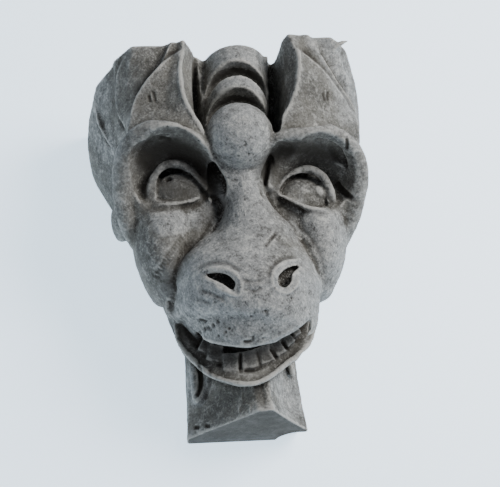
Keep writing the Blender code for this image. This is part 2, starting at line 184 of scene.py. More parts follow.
left_ear = loft([
    [(6, 50, 196), (6, 50, 150), (6, 50, 104)],
    [(-19, 80, 196), (-19, 74, 165), (-16, 66, 132), (-12, 66, 108)],
    [(-25, 92, 192), (-28.5, 96, 166), (-27, 98, 146), (-20, 95, 131), (-13, 80, 110)],
    [(-28, 89, 192), (-34, 92, 168), (-37, 91, 148), (-36, 94, 131), (-32, 84, 112)],
    [(-29, 90, 192), (-40, 93, 170), (-53, 86, 152), (-55.5, 82, 134), (-52, 66, 112)],
    [(-30, 86, 192), (-42, 88, 170), (-54.5, 80, 152), (-56, 73, 134), (-52, 62, 112)],
    [(-51, 92, 196), (-54, 81, 172), (-58.5, 70, 152), (-57, 64, 134), (-52, 57, 112)],
    [(-60, 78, 196), (-62, 70, 172), (-60.5, 64, 152), (-57, 62, 134), (-52, 54, 112)],
    [(-61, 73, 196), (-62.5, 64, 172), (-61, 58, 152), (-57, 57, 134), (-53, 50, 112)],
    [(-68, 60, 196), (-70.5, 47, 178), (-66, 46, 156), (-60, 48, 138), (-54, 42, 112)],
    [(-69, 54, 196), (-71, 41, 178), (-67, 39, 156), (-61, 41, 138), (-55, 34, 112)],
    [(-73, 20, 196), (-75, 16, 176), (-74, 14, 160), (-66.5, 14, 143), (-46, 17, 104)],
    [(-72, -8, 196), (-74, -8, 176), (-72, -8, 158), (-64, -8, 140), (-42, -8, 100)],
    [(6, -8, 196), (6, -8, 150), (6, -8, 104)],
])
right_ear = loft([
    [(-6, 50, 196), (-6, 50, 150), (-6, 50, 104)],
    [(18.5, 82, 196), (18.5, 71, 165), (16, 64, 132), (12, 66, 108)],
    [(24.5, 97, 192), (31, 98, 169), (27, 98, 149), (17, 94, 131), (12, 80, 108)],
    [(30, 97, 192), (38, 94, 168), (38, 92, 148), (35, 93, 127), (32, 84, 110)],
    [(33, 100, 192), (48, 89, 170), (61, 76, 155), (62, 73, 136), (55, 60, 108)],
    [(35, 97, 192), (49, 85, 170), (62, 71, 155), (64, 64, 138), (56, 57, 108)],
    [(45, 102, 192), (58, 80, 172), (66, 62, 155), (65, 57, 138), (56, 53, 108)],
    [(55, 93, 192), (66, 66, 174), (68, 55, 158), (65, 51, 138), (56, 48, 108)],
    [(56, 88, 192), (67, 60, 174), (69, 50, 158), (65, 47, 138), (56, 44, 108)],
    [(67, 60, 192), (71, 46, 176), (70, 41, 156), (64, 39, 136), (55, 36, 108)],
    [(68, 54, 192), (72, 40, 176), (70, 35, 156), (65, 33, 136), (56, 30, 108)],
    [(71, 20, 196), (73, 20, 174), (72, 18, 152), (64, 18, 134), (46, 17, 104)],
    [(70, -8, 196), (72, -8, 174), (71, -8, 152), (62, -8, 132), (42, -8, 100)],
    [(-6, -8, 196), (-6, -8, 150), (-6, -8, 104)],
])
masses += [left_ear, right_ear, lump((-32, 82, 189), (8, 8.5, 7)), lump((-58, 14, 124), (6, 14, 11))]

# The crest is one column between the ears. Two deep lunes are cut into it under plates like a
# shell's, and a slot parts it from each ear.
RECESS_HEIGHT = 9.5
RECESS_DEPTH = 24
SLOT_WIDTH = 7.5

masses.append(stem([
    (-1, 62, 112, 11, 16),
    (-0.5, 66, 132, 15.5, 20),
    (1, 68, 160, 16.5, 23),
    (3, 62, 206, 18, 22),
]))


def lune(centre, reach, rise, lean):
    """A bar bent over an arch, thin at its ends, with its right end lower by twice the lean."""
    stations = []
    for step in range(13):
        turn = math.pi * step / 12
        x = centre[0] + reach * math.cos(turn)
        z = centre[2] + rise * math.sin(turn) - lean * math.cos(turn)
        stations.append((x, centre[1], z, RECESS_DEPTH, RECESS_HEIGHT / 2 * (0.2 + 0.8 * math.sin(turn))))
    return stem(stations, width_axis=(0, -1, 0))


hollows = [
    lune((0.5, 94, 138.5), 18.5, 14.5, 2),
    lune((2, 94, 151.5), 19.5, 18, 2.5),
    stem([
        (-19, 112, 200, SLOT_WIDTH * 0.3, 22),
        (-19.3, 100, 176, SLOT_WIDTH * 0.36, 24),
        (-19.3, 86, 152, SLOT_WIDTH * 0.4, 27),
        (-17, 88, 128, 1, 14),
    ]),
    stem([
        (20.5, 110, 200, SLOT_WIDTH * 0.4, 24),
        (21, 98, 178, SLOT_WIDTH * 0.5, 27),
        (21, 85, 152, SLOT_WIDTH * 0.5, 30),
        (16.5, 88, 126, 1, 14),
    ]),
]

# The muzzle widens from a narrow bridge to the lip, between two round cheeks. The lower jaw is a
# scoop below it that stands clear of the neck.
muzzle = stem([
    (-0.5, 68, 134, 17, 16),
    (0, 69, 119, 13, 16),
    (1.3, 69, 108, 10, 13.5),
    (2.6, 67, 98, 13.2, 16.5),
    (3.6, 64, 90, 20.5, 21.5),
    (3.4, 61, 83, 27.3, 26.5),
    (2.6, 58.5, 76, 32.7, 31),
    (1.4, 56.5, 68, 36, 34.5),
    (0.9, 55, 58, 36, 36.5),
    (1.3, 54, 48, 33.5, 34.5),
    (0.2, 53, 39, 29.5, 29.5),
    (-1.8, 53, 31, 21.5, 22.5),
    (-2.5, 53, 23.5, 10, 14),
], closing=0.06)
rim_path = [
    (-34.5, 36, 54, 0.8),
    (-32.5, 41, 40, 1),
    (-22, 48, 23.6, 1),
    (-12, 51, 17, 1),
    (-2.4, 52, 14.7, 1),
    (6, 51, 17, 1),
    (18, 48, 26, 1),
    (30.5, 42, 38, 1),
    (37, 36, 52, 0.8),
]
jaw_rails = [
    [(x * 0.5, 4, z * 0.5 + 23.5), (x * 0.78, out * 0.66, z * 0.8 + 8.6), (x, out - 0.5, z + 0.5)]
    for x, out, z, _ in rim_path
]
jaw_rails.append([(0, 4, 64), (0, 22, 66), (0, 34, 62)])
jaw = loft(jaw_rails)
masses += [muzzle, jaw]
for side in (-1, 1):
    masses.append(stem([
        (side * 38, 50, 108, 13, 19),
        (side * 38, 49, 96, 16.5, 26),
        (side * 37, 43, 80, 14.5, 28),
        (side * 33, 37, 62, 9, 18),
    ]))
    masses.append(stem([
        (side * 15, 60, 107, 8, 9),
        (side * 22, 55, 98, 14, 16),
        (side * 24, 50, 88, 13, 20),
        (side * 29, 44, 74, 10, 20),
    ]))

# The brows are rolls of clay over the eyes. Under each one a hollow is scooped out whose floor runs
# out over the cheek.
BROW_RADIUS = 5.2


def roll(path, radius):
    """A round roll along a path; a station is x, out, z and a share of the radius."""
    curve = bpy.data.curves.new("roll", "CURVE")
    curve.dimensions = "3D"
    curve.bevel_depth = radius * UNIT
    curve.bevel_resolution = 8
    curve.use_fill_caps = True
    spline = curve.splines.new("POLY")
    rows = flow(path, 16 * len(path))
    spline.points.add(len(rows) - 1)
    for point, row in zip(spline.points, rows):
        point.co = (*at(*row[:3]), 1)
        point.radius = row[3]
    guide = bpy.data.objects.new("roll", curve)
    workshop.objects.link(guide)
    bpy.context.view_layer.update()
    mesh = bpy.data.meshes.new_from_object(guide.evaluated_get(bpy.context.evaluated_depsgraph_get()))
    bpy.data.objects.remove(guide)
    bm = bmesh.new()
    bm.from_mesh(mesh)
    bmesh.ops.remove_doubles(bm, verts=bm.verts, dist=UNIT / 50)
    return clay("roll", bm)


masses.append(roll([
    (-6, 72, 104, 0.4),
    (-11, 79, 112.5, 0.5),
    (-16.5, 86, 120, 0.6),
    (-22.5, 92, 125.5, 0.65),
    (-30, 96.5, 127.8, 0.7),
    (-38, 98, 129.8, 0.72),
    (-46.5, 95.5, 130.8, 0.8),
    (-53, 89.5, 128.5, 0.95),
    (-57, 80, 124, 1.1),
    (-58, 70, 115, 1.15),
    (-57, 61, 105, 1.15),
    (-54, 54, 96, 1),
    (-49, 48, 88, 0.7),
], BROW_RADIUS))
masses.append(roll([
    (9, 82, 116, 0.3),
    (11.5, 86.5, 122, 0.5),
    (16.5, 91.5, 126.5, 0.65),
    (24, 94.5, 127, 0.65),
    (31, 96.3, 126.2, 0.68),
    (39.5, 97, 126.4, 0.7),
    (48, 94.5, 125, 0.75),
    (54, 89, 121.8, 0.85),
    (58, 80.5, 116, 1),
    (57.5, 70, 107.5, 1.1),
    (55, 60, 98, 1),
    (50, 48, 87, 0.7),
], BROW_RADIUS))
masses.append(roll([(38, 88, 131, 1), (47, 85, 131, 1.1), (55, 75, 125, 1)], BROW_RADIUS))
masses.append(roll([(-34, 90, 133, 0.9), (-46, 88, 134, 1), (-55, 79, 130, 1)], BROW_RADIUS))
for side in (-1, 1):
    masses.append(stem([
        (side * 47, 66, 130 + side * -2, 10, 17),
        (side * 49, 60, 116 + side * -2, 9, 16),
        (side * 47, 52, 100 + side * -2, 8, 13),
        (side * 44, 42, 86, 7, 11),
    ]))
sockets = [
    lump((-44, 88, 115.5), (13.5, 14, 12.5)),
    lump((-20.5, 86, 109), (9, 12.5, 11)),
    lump((20, 87, 112), (10.5, 14, 14)),
]
for side, lift in ((-1, 0.5), (1, -3.5)):
    sockets.append(stem([
        (side * 33, 69, 111 + lift, 18, 12),
        (side * 35, 80, 112 + lift, 20.5, 15),
        (side * 36, 92, 112 + lift, 21.5, 16.5),
        (side * 37, 116, 108 + lift, 25, 22),
    ], closing=0.08))

masses.append(loft([
    [(-24, 50, 132), (-19, 50, 121), (-13, 50, 111), (-8, 50, 100)],
    [(-25, 91, 132), (-19.5, 87.5, 122), (-13.5, 81, 112.5), (-8, 75, 102)],
    [(-0.5, 90, 132), (-0.5, 86.5, 121), (-0.5, 84, 112), (0.3, 82, 102)],
    [(17, 91, 132), (12, 86.5, 121), (9.3, 81, 112.5), (8.5, 76, 102)],
    [(17, 50, 132), (12, 50, 121), (9.3, 50, 111), (8, 50, 100)],
]))

# The mouth is an open gap between the lips with a darker trough behind it, where the teeth stand.
# Its left corner curls up in a small lip.
MOUTH_HEIGHT = 21
MOUTH_DEPTH = 23
TROUGH_HEIGHT = 18
TROUGH_DEPTH = 22

masses.append(lump((-36.5, 45, 60), (4, 6, 7)))
hollows.append(stem([
    (x, out, z, MOUTH_DEPTH / 2 * share, MOUTH_HEIGHT / 2 * share)
    for x, out, z, share in [
        (-37, 44, 53, 0.3),
        (-32, 50, 39.5, 0.62),
        (-24, 57, 26.8, 0.8),
        (-12, 62, 19.5, 1),
        (-1, 63, 17.6, 1),
        (8, 61, 21, 1),
        (21, 56, 31, 0.85),
        (32, 49, 43, 0.62),
        (39, 41, 55, 0.3),
    ]
], (0, -1, 0), 0.04))
hollows.append(stem([
    (x, out, z, TROUGH_DEPTH / 2 * share, TROUGH_HEIGHT / 2 * share)
    for x, out, z, share in [
        (-26, 44, 41, 0.7),
        (-17, 49, 34.5, 0.95),
        (-8, 52, 30.5, 1),
        (0, 52, 29.5, 1),
        (8, 52, 31.5, 1),
        (17, 49, 37.5, 0.95),
        (26, 44, 46, 0.7),
    ]
], (0, -1, 0), 0.08))

# The masses are run together into one body, as clay is pressed together over a block, and the
# hollows are cut out of it. The sockets are scooped last and smoothed with a wet thumb.
SOCKET_SMOOTHING = 0.0035
CELL = 0.00066


def gather(pieces):
    """Several closed forms as one mesh, for the clay to swallow."""
    bm = bmesh.new()
    for piece in pieces:
        bm.from_mesh(piece.data)
        bpy.data.objects.remove(piece)
    mesh = bpy.data.meshes.new("clay")
    bm.to_mesh(mesh)
    bm.free()
    made = bpy.data.objects.new("clay", mesh)
    workshop.objects.link(made)
    return made


def settle(piece):
    """Turns the modifiers into the mesh itself."""
    bpy.context.view_layer.update()
    mesh = bpy.data.meshes.new_from_object(piece.evaluated_get(bpy.context.evaluated_depsgraph_get()))
    piece.modifiers.clear()
    piece.data = mesh


def pressed(pieces, rubbing=0.0):
    """Runs touching forms into one skin and rubs its joints down over a width in metres."""
    body = gather(pieces)
    melt = body.modifiers.new("melt", "REMESH")
    melt.mode = "VOXEL"
    melt.voxel_size = CELL
    rounds = round((rubbing / CELL) ** 2)
    if rounds:
        rub = body.modifiers.new("rub", "SMOOTH")
        rub.iterations = rounds
        rub.factor = 0.5
    settle(body)
    return body


def cut(body, tool, operation="DIFFERENCE"):
    """Cuts the body with a tool, which is used up."""
    knife = body.modifiers.new("knife", "BOOLEAN")
    knife.operation = operation
    knife.object = tool
    knife.solver = "MANIFOLD"
    settle(body)
    bpy.data.objects.remove(tool)


corbel = pressed(masses)
cut(corbel, pressed(hollows))
cut(corbel, pressed(sockets, SOCKET_SMOOTHING))

# A plain ball sits on the forehead under the lowest plate. The eyes are mounds in their hollows,
# opened under the lids to take the eyeballs, and the nose is undercut at their inner corners.
BALL_RADIUS = 16.8
EYE_RADIUS = 11.3
LID_RADIUS = 2.4
CLEAR_OF_FACE = 110
EYE_FLOOR = 64
LEFT_CORNER_FLOOR, RIGHT_CORNER_FLOOR = 70, 76
LEFT_LIDS = [
    (156.4, 200), (155.5, 188), (159, 176), (167, 169), (177, 168.5), (188, 173), (199, 183),
    (208, 197), (196, 197), (181, 200.5), (168, 201.5),
]
RIGHT_LIDS = [
    (279, 190), (288, 178.5), (301, 173), (313, 177.5), (323, 188), (328, 205), (321, 207.5),
    (308, 204.5), (295, 199.5),
]
LEFT_CORNER = [
    (208, 163), (214, 161.5), (219.5, 169), (226, 179), (227, 189), (223.5, 200), (217, 206),
    (211, 202), (208, 190), (207, 176),
]
RIGHT_CORNER = [
    (272, 152), (265.5, 160), (261.3, 171), (259.3, 182), (260, 193), (264.5, 200), (271, 199),
    (274, 185), (275, 168),
]

ball = lump((-1.2, 87.3, 130.8), [BALL_RADIUS] * 3)
raised = [
    corbel,
    ball,
    lump((-33, 57, 111), (19, 17, 17)),
    lump((33, 57, 107.5), (19, 17, 17)),
    lump((-19, 59, 103), (8, 10, 8)),
    lump((16, 60, 110), (7.5, 11.5, 12)),
    lump((16, 60, 118), (7, 12, 10)),
    lump((21, 58, 102), (7.5, 10, 8)),
    roll([
        (-50, 61, 99, 0.5),
        (-46, 67.5, 107, 0.8),
        (-44, 72, 115, 1),
        (-38.5, 75, 121.5, 1),
        (-31.5, 76, 122.3, 1),
        (-24, 75, 118, 0.9),
        (-18.5, 72.5, 110.5, 0.7),
        (-15, 69, 104, 0.5),
    ], LID_RADIUS),
    roll([
        (50.5, 60, 97.4, 0.4),
        (47, 66.5, 101.5, 0.6),
        (44.5, 72, 107.5, 0.8),
        (40.5, 75.5, 114.5, 0.9),
        (33.6, 76.5, 118, 0.9),
        (26, 75.5, 116.4, 0.8),
        (19.5, 73, 111.5, 0.7),
        (14, 70, 105.5, 0.5),
    ], LID_RADIUS),
    roll([
        (-46, 66, 104.5, 0.5),
        (-40, 71.5, 102.3, 0.7),
        (-31, 73.5, 101.8, 0.7),
        (-20, 72, 106, 0.5),
    ], LID_RADIUS),
    roll([
        (43.5, 69, 98, 0.5),
        (38, 72.5, 96.4, 0.7),
        (31, 73.5, 97.7, 0.7),
        (17, 71.5, 107.2, 0.5),
    ], LID_RADIUS),
]


def in_sight(x, y, out):
    """Where the line of sight through a pixel of the photograph is so far out from the wall."""
    across, down = x - PHOTO_SIZE[0] / 2, y - PHOTO_SIZE[1] / 2
    sight = picture_right * across - picture_up * down - toward_camera * FOCAL_PIXELS
    start = camera.matrix_world.translation
    return start + sight * ((-out * UNIT - start.y) / sight.y)


def punched(outline, floor):
    """A hole of a closed outline in the photograph, cut in to a floor at a distance out of the wall."""
    bm = bmesh.new()
    rows = flow([*outline, outline[0]], 12 * len(outline))[:-1]
    rim = bmesh.ops.create_circle(bm, cap_ends=True, segments=len(rows), radius=1)["verts"]
    for vert, row in zip(rim, rows):
        vert.co = in_sight(*row, CLEAR_OF_FACE)
    wall = bmesh.ops.extrude_face_region(bm, geom=bm.faces[:])["geom"]
    moved = {tuple(part.co): part for part in wall if isinstance(part, bmesh.types.BMVert)}
    for row in rows:
        moved[tuple(in_sight(*row, CLEAR_OF_FACE))].co = in_sight(*row, floor)
    bmesh.ops.triangulate(bm, faces=bm.faces)
    return clay("punch", bm)


openings = [
    punched(LEFT_LIDS, EYE_FLOOR),
    punched(RIGHT_LIDS, EYE_FLOOR),
    punched(LEFT_CORNER, LEFT_CORNER_FLOOR),
    punched(RIGHT_CORNER, RIGHT_CORNER_FLOOR),
]
details = [
    lump((-30.6, 63, 111), (EYE_RADIUS + 2.6, EYE_RADIUS, EYE_RADIUS + 1)),
    lump((31, 63, 107.6), (EYE_RADIUS + 2.4, EYE_RADIUS, EYE_RADIUS + 0.8)),
    lump((38, 70, 107.6), (4.2, 4.2, 4.2)),
]

# The nostrils are pushed in with a flat stick, and the upper lip is pared away where it rises at
# its right end. The clay round them is then rubbed smooth with a thumb.
NOSTRIL_FLOOR = 79
LIP_RISE_FLOOR = 42
THUMB_SMOOTHING = 0.0012
LEFT_NOSTRIL = [
    (204, 275), (212, 273), (221, 273), (230, 276.5), (236, 283), (233, 290.5), (226, 286.5),
    (218, 282), (210, 278.5),
]
RIGHT_NOSTRIL = [
    (301, 265.5), (291, 266.5), (283, 270.5), (277.5, 277.5), (279.5, 285.5), (286, 287.5),
    (291, 282), (292.5, 274),
]
LIP_RISE = [
    (270, 345.5), (281, 338.5), (290, 333.5), (298, 328.5), (305, 323), (309, 319.5), (311, 320),
    (310.5, 326), (308.5, 332), (304.5, 338.5), (297, 344.5), (284, 348.5),
]

eye = np.array(camera.matrix_world.translation)
openings += [
    punched(LEFT_NOSTRIL, NOSTRIL_FLOOR),
    punched(RIGHT_NOSTRIL, NOSTRIL_FLOOR),
    punched(LIP_RISE, LIP_RISE_FLOOR),
]


def seen_at(points):
    """Where points of the model lie in the photograph, in its pixels."""
    from_eye = (points - eye) @ np.array((picture_right, picture_up, toward_camera)).T
    return np.stack((
        PHOTO_SIZE[0] / 2 - FOCAL_PIXELS * from_eye[:, 0] / from_eye[:, 2],
        PHOTO_SIZE[1] / 2 + FOCAL_PIXELS * from_eye[:, 1] / from_eye[:, 2],
    ), 1)


def numbers(sequence, name):
    """The places or directions of a mesh's points, as rows of three."""
    values = np.empty(len(sequence) * 3)
    sequence.foreach_get(name, values)
    return values.reshape(-1, 3)


def neighbours(mesh):
    """For each point the points beside it: all in one row, where each row part starts, how many."""
    links = np.empty(len(mesh.edges) * 2, int)
    mesh.edges.foreach_get("vertices", links)
    links = links.reshape(-1, 2)
    both_ways = np.concatenate((links, links[:, ::-1]))
    both_ways = both_ways[np.argsort(both_ways[:, 0], kind="stable")]
    first = np.searchsorted(both_ways[:, 0], np.arange(len(mesh.vertices)))
    return both_ways[:, 1], first, np.bincount(both_ways[:, 0], minlength=len(mesh.vertices))[:, None]


def softened(values, width, beside):
    """Numbers on the skin, each shared with what lies beside it over a width in metres."""
    others, first, count = beside
    for _ in range(max(1, round((width / CELL) ** 2))):
        values = np.add.reduceat(values[others], first) / count
    return values


def rubbed_down(middle, reach, width):
    """Smooths the clay round a place in the photograph."""
    mesh = corbel.data
    points = numbers(mesh.vertices, "co")
    smooth = softened(points, width, neighbours(mesh))
    away = np.hypot(*(seen_at(points) - middle).T) / reach
    share = np.exp(-(away**2)) * (points[:, 1] < -0.06)
    points += (smooth - points) * share[:, None]
    mesh.vertices.foreach_set("co", points.ravel())
    mesh.update()


BETWEEN_NOSTRILS = 245, 275
UNDER_LEFT_EYE = 178, 212
INNER_CORNERS = (218, 183), (267, 177)
corbel = pressed(raised, THUMB_SMOOTHING)
rubbed_down(BETWEEN_NOSTRILS, 40, 0.003)
rubbed_down(UNDER_LEFT_EYE, 20, 0.004)
cut(corbel, pressed(openings))
for inner_corner in INNER_CORNERS:
    rubbed_down(inner_corner, 17, 0.0022)

# The teeth are square pegs set in a gum round the lower jaw. A thin rim is drawn up round its edge,
# and the lip is turned out at the left corner.
TOOTH_HEIGHT = 9
TOOTH_DEPTH = 8
RIM_RADIUS = 1.3
LIP_RADIUS = 2.2
GUM_SIZE = 5.5, 3


def block(centre, size, turn=0.0, rounding=0.0):
    """A square block in grid units, turned by degrees about the axis out of the wall."""
    bm = bmesh.new()
    bmesh.ops.create_cube(bm, size=1)
    lean = Matrix.Rotation(math.radians(turn), 4, "Y")
    place = Matrix.Translation(at(*centre)) @ lean @ Matrix.Diagonal((*(edge * UNIT for edge in size), 1))
    bmesh.ops.transform(bm, matrix=place, verts=bm.verts)
    if rounding:
        bmesh.ops.bevel(
            bm, geom=bm.edges, offset=rounding * UNIT, segments=3, profile=0.5, affect="EDGES", material=-1
        )
    return clay("block", bm)


for x, out, z, width, turn in [
    (-22.8, 44.5, 33.6, 5.2, 28),
    (-18.2, 45.5, 28.2, 7, 17),
    (-9.6, 46.5, 22.6, 8, 2),
    (-0.4, 46.8, 23.6, 9, -7),
    (8.6, 46.5, 26.2, 8.4, -19),
    (16, 45.5, 30.8, 6.6, -33),
    (21.4, 44.5, 36, 5.8, -40),
    (25.6, 43, 41.6, 4.2, -36),
]:
    lean = math.radians(turn)
    middle = (x + TOOTH_HEIGHT / 2 * math.sin(lean), out, z + TOOTH_HEIGHT / 2 * math.cos(lean))
    details.append(block(middle, (width, TOOTH_DEPTH, TOOTH_HEIGHT), turn, rounding=0.5))
details.append(roll(rim_path, RIM_RADIUS))
details.append(roll([
    (-32, 46, 50.5, 0.7),
    (-35, 48, 53.4, 1),
    (-37.6, 49, 57.4, 1.1),
    (-37.9, 50, 61.8, 1),
    (-35.4, 52, 65, 0.7),
], LIP_RADIUS))
details.append(stem([(x * 0.93, out - 7, z + 4.8, *GUM_SIZE) for x, out, z, _ in rim_path], (0, -1, 0)))

# On the left of the neck hangs a drop-shaped loop, and on its right is a folded corner. The thorn
# of stone on the right ear is flash left by the mould. The foot is chipped at its right back corner.
BEAD_RADIUS = 1.4
DETAIL_SMOOTHING = 0.0007

details.append(stem([(-22, 17, 50, 4.6, 3.6), (-22.6, 16.5, 34, 4.8, 3.8), (-22.4, 16.5, 17.5, 3.6, 3.4)]))
details.append(roll([(20, 33, 42, 1), (24, 25, 29, 0.8), (24, 25, 40, 0.8)], BEAD_RADIUS))
details.append(roll([
    (-70, 46, 180, 0.8),
    (-69.5, 46, 170, 1),
    (-65.5, 47, 156, 1.2),
    (-60, 49, 143, 1),
], BEAD_RADIUS))
details.append(roll([(49, 88, 180, 1.2), (54, 91, 183, 0.9), (59, 92, 184.6, 0.3)], BEAD_RADIUS))

corbel = pressed([corbel, *details], DETAIL_SMOOTHING)
left_pupil = lump((-36.3, 76, 116.6), (2.6, 7, 2.4))
foot_chip = lump((29, -2, FOOT_LEVEL - 2), (14, 15, 6), turn=(0, 0, -15))
cut(corbel, pressed([left_pupil, foot_chip]))

# Its back, top and foot are sawn flat, as the block was that it was carved from. The sawn edges are
# no longer quite sharp.
tall = HEIGHT / UNIT
cut(corbel, block((0, tall / 2, FOOT_LEVEL + tall / 2), (tall * 2, tall, tall)), "INTERSECT")
corbel = pressed([corbel])

# The fine carving is cut into the skin of the finished form. Each mark is set out as it is seen in
# the photograph, in its pixels, and only on stone that the camera sees.
mesh = corbel.data
skin = numbers(mesh.vertices, "co")
facing = numbers(mesh.vertices, "normal")
spot = seen_at(skin)
to_eye = eye - skin
to_eye /= np.linalg.norm(to_eye, axis=1)[:, None]
in_view = (facing * to_eye).sum(1) > 0.02
surface = BVHTree.FromPolygons(skin.tolist(), [tuple(face.vertices) for face in mesh.polygons])
for i in np.flatnonzero(in_view):
    start = skin[i] + facing[i] * 2 * CELL + to_eye[i] * 2 * CELL
    if surface.ray_cast(Vector(start), Vector(to_eye[i]), 0.3)[0]:
        in_view[i] = False
relief = np.zeros(len(skin))
# The first layer below is painted shade, partly brown patina; the second is painted light, partly a pale
# bluish bloom.
shade_and_brown = np.zeros(len(skin))
painted_light_and_bloom = np.zeros(len(skin))


def stone_near(path, reach):
    """The stone in view within reach of a line: its points, how near, on which side, how far along."""
    line = np.array(flow(path, 6 * len(path)))[:, :2]
    low, high = line.min(0) - reach, line.max(0) + reach
    close = np.flatnonzero(in_view & (spot > low).all(1) & (spot < high).all(1))
    nearest = np.full(len(close), 1e9)
    side = np.zeros(len(close))
    share = np.zeros(len(close))
    for i, (a, b) in enumerate(zip(line[:-1], line[1:])):
        run = b - a
        t = np.clip(((spot[close] - a) @ run) / max(run @ run, 1e-9), 0, 1)
        gap = spot[close] - a - t[:, None] * run
        distance = np.hypot(gap[:, 0], gap[:, 1])
        better = distance < nearest
        nearest[better] = distance[better]
        side[better] = (run[0] * gap[:, 1] - run[1] * gap[:, 0])[better]
        share[better] = (i + t[better]) / (len(line) - 1)
    kept = nearest < reach
    return close[kept], nearest[kept] / reach, side[kept], share[kept]


def groove(path, width, depth, dark=0.8):
    """A cut along a line, in pixels wide and millimetres deep, running out at its ends."""
    points, near, _, share = stone_near(path, width / 2 + 1)
    ends = np.minimum(1, np.minimum(share, 1 - share) / 0.12 + 0.25)
    shape = (1 - near**2) * ends
    relief[points] -= depth / 1000 * shape
    # The cut is darkened with painted shade.
    shade_and_brown[points] = np.maximum(shade_and_brown[points], dark * shape)


def ridge(path, width, height):
    """A raised line, in pixels wide and millimetres high, running out at its ends."""
    points, near, _, share = stone_near(path, width / 2 + 1)
    ends = np.minimum(1, np.minimum(share, 1 - share) / 0.12 + 0.25)
    relief[points] += height / 1000 * (1 - near**2) ** 2 * ends


def fold(path, reach, depth):
    """An edge that stands proud of the stone on the walker's right hand, over a reach of pixels."""
    points, near, side, share = stone_near(path, reach)
    ends = np.minimum(1, np.minimum(share, 1 - share) / 0.15 + 0.1)
    lower = np.clip(0.5 + np.sign(side) * near * reach / 4, 0, 1)
    relief[points] -= depth / 1000 * (1.2 * lower - 0.2) * (1 - near) ** 2 * ends
    # Painted shade darkens the lower side of the edge.
    shade_and_brown[points] = np.maximum(shade_and_brown[points], 0.7 * lower * (1 - near) ** 3 * ends)


PROUD_EDGES = {
    "left of the muzzle": (
        13, 1.6, [(220, 209), (207, 232), (191, 248), (180, 262), (175.5, 280), (177, 296)]
    ),
    "right of the muzzle": (12, 1, [(322, 282), (321, 262), (313, 245), (298, 226), (283, 212)]),
    "left ear, inner leaf": (
        14, 2.2, [(186, 46), (172, 54), (160, 63), (148, 76), (138, 90), (131, 106), (128, 127)]
    ),
    "left ear, middle leaf": (12, 2, [(124, 55), (118, 66), (114, 83), (113, 103), (117, 118), (125, 134)]),
    "left ear, outer leaf": (8, 1.8, [(95, 110), (97, 122), (103, 135), (114, 152)]),
    "right ear, inner leaf": (13, 1.9, [(355, 116), (343, 94), (326, 71), (311, 57), (296, 46)]),
    "ridge of the neck": (9, 0.5, [(262, 380), (264, 391), (266, 405)]),
}
for reach, depth, path in PROUD_EDGES.values():
    fold(path, reach, depth)
EAR_RIMS = {
    "left ear, outermost leaf": (4, 0.7, [(96, 112), (98, 122), (104, 135), (115, 151)]),
    "beside it": (4, 0.5, [(106, 132), (111, 141), (117, 149)]),
    "left ear, inner rim": (
        4, 0.7, [(184, 50), (180, 66), (181, 87), (184, 98), (192, 114), (200, 127), (206, 138), (212, 157)]
    ),
    "right ear, inner rim": (4, 0.7, [(297, 47), (299, 58), (298, 74), (294, 92), (286, 110), (277, 127)]),
}
for width, height, path in EAR_RIMS.values():
    ridge(path, width, height)
LEAF_SLIT = [(115, 80), (113.6, 90), (113.8, 104), (117, 118), (125, 133)]
groove(LEAF_SLIT, 3, 0.8)

# Brown painted shade, partly patina, lies in the sockets, the mouth and the lunes and on the shaded
# left of the face, and painted light, partly a pale bluish bloom, on what stands proud and on the lit
# right. Both are laid on as they are seen, and the sawn foot, turned down, has painted shade all over.
FOOT_SHADE = 0.72


def brushed(layer, amount, path, reach, furthest_out=200):
    """Paint along a line, thinning out over a reach of pixels, on stone no further out of the wall."""
    points, near, _, _ = stone_near(path, reach)
    inside = skin[points, 1] > -furthest_out * UNIT
    points, near = points[inside], near[inside]
    layer[points] = np.maximum(layer[points], amount * (1 - near**2))


# Painted shade, partly brown patina, in the sockets, beside the bridge and on the shaded left of the face.
SHADE_AND_BROWN = {
    "left socket": (1, 15, [(146, 160), (160, 148), (185, 152), (203, 172), (209, 190)]),
    "right socket": (0.8, 12, [(267, 172), (273, 158), (290, 151), (312, 150), (332, 156)]),
    "left of the bridge": (0.55, 10, [(213, 192), (212, 212), (203, 230)]),
    "right of the bridge": (0.4, 8, [(268, 186), (276, 199), (290, 212)]),
    "right inner corner": (0.4, 9, [(271, 157), (269, 172), (273, 187)]),
    "left eyeball": (0.5, 17, [(168, 188), (192, 190)]),
    "left lids": (0.4, 9, [(144, 208), (151, 181), (163, 165), (180, 163), (196, 178), (208, 196)]),
    "right lids": (0.25, 8, [(272, 192), (290, 174), (308, 168), (322, 177), (332, 200)]),
    "left of the muzzle": (0.5, 11, [(202, 220), (197, 234), (187, 249), (176, 262)]),
    "left of the lip": (0.5, 12, [(175, 262), (168, 276), (167, 290)]),
    "left brow": (0.3, 10, [(122, 172), (126, 150), (136, 134), (150, 127), (170, 127), (190, 134)]),
}
for amount, reach, path in SHADE_AND_BROWN.values():
    brushed(shade_and_brown, amount, path, reach)
# Painted shade inside the mouth, and under the plates in the lunes.
MOUTH_SHADE = [(184, 328), (203, 343), (232, 353), (262, 351), (288, 337), (308, 321)]
brushed(shade_and_brown, 0.5, MOUTH_SHADE, 17, furthest_out=54)
LOWER_LUNE_SHADE = [(214, 116), (236, 98), (265, 116)]
UPPER_LUNE_SHADE = [(214, 82), (238, 69), (265, 86)]
brushed(shade_and_brown, 1, LOWER_LUNE_SHADE, 8, furthest_out=84)
brushed(shade_and_brown, 0.8, UPPER_LUNE_SHADE, 7, furthest_out=84)
